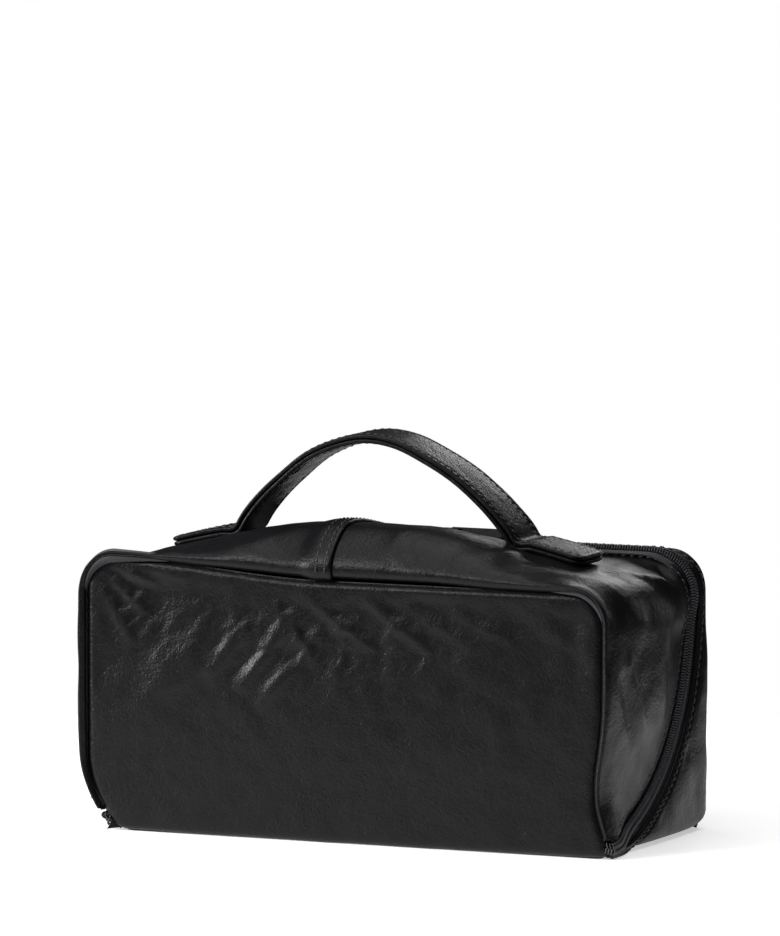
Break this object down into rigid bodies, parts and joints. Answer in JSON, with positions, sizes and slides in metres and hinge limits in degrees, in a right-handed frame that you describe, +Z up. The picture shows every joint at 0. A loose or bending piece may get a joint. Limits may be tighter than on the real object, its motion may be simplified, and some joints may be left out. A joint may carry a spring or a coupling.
{
  "type": "makeup bag",
  "caption": "Soft black leather makeup bag that opens like a clam: a lid with a padded back panel, domed gusset and arched strap handle, zipped round three sides to a base.",
  "frame": {"origin": "middle of the underside of the bag, on the surface it stands on", "axes": "+X along the bag's length, +Y from the hinged back panel to the front panel, +Z up through the handle"},
  "size_m": [0.2714, 0.122, 0.1895],
  "materials": {
    "leather_black": "black leather, fine grain, satin",
    "leather_back": "flesh side of the leather patches, dark grey, matt",
    "lining_cloth": "black woven nylon lining, fine twill, slight sheen",
    "binding_cloth": "black grosgrain binding tape, matt",
    "padding_foam": "grey bonded foam and felt, matt",
    "board": "black fibre board, matt",
    "zip_tape": "black woven polyester zip tape, matt",
    "zip_coil": "black nylon coil, semi gloss",
    "slider_metal": "die-cast zinc, black enamel, gloss",
    "handle_filler": "black bonded leather filler, matt"
  },
  "bodies": {
    "base": {"front_panel": "leather_black", "bottom_panel": "leather_black", "hinge_fold": "leather_black", "base_gusset_left": "leather_black", "base_gusset_right": "leather_black", "front_padding": "padding_foam", "bottom_board": "board", "base_lining": "lining_cloth", "base_seam_binding": "binding_cloth", "base_zip_tape": "zip_tape", "base_zip_coil": "zip_coil"},
    "lid": {"back_panel": "leather_black", "lid_gusset_left": "leather_black", "lid_gusset_right": "leather_black", "back_padding": "padding_foam", "lid_lining": "lining_cloth", "lid_seam_binding": "binding_cloth", "lid_zip_tape": "zip_tape", "lid_zip_coil": "zip_coil", "handle_strap": "leather_black", "handle_core": "handle_filler", "handle_underside": "leather_black", "handle_backing_left": "leather_back", "handle_backing_right": "leather_back"},
    "slider_left": {"slider_left": "slider_metal"},
    "pull_left": {"pull_left": "slider_metal"},
    "slider_right": {"slider_right": "slider_metal"},
    "pull_right": {"pull_right": "slider_metal"}
  },
  "joints": [
    {"name": "lid_hinge", "type": "hinge", "parent": "base", "child": "lid", "pos_m": [0, -0.057, 0.004], "axis": [1, 0, 0], "range_deg": [0, 90], "deforming": ["hinge_fold", "lid_zip_tape", "lid_zip_coil"]},
    {"name": "slider_right_slide", "type": "slide", "parent": "base", "child": "slider_right", "axis": [1, 0, 0], "range_m": [0, 0.065], "deforming": ["base_zip_coil"]},
    {"name": "slider_left_slide", "type": "slide", "parent": "base", "child": "slider_left", "axis": [-1, 0, 0], "range_m": [0, 0.065]},
    {"name": "pull_right_swing", "type": "hinge", "parent": "slider_right", "child": "pull_right", "pos_m": [0.008, 0.04914, 0.13456], "axis": [0, -0.8829, -0.4695], "range_deg": [0, 100]},
    {"name": "pull_left_swing", "type": "hinge", "parent": "slider_left", "child": "pull_left", "pos_m": [-0.008, 0.04914, 0.13456], "axis": [0, 0.8829, 0.4695], "range_deg": [0, 100]}
  ]
}
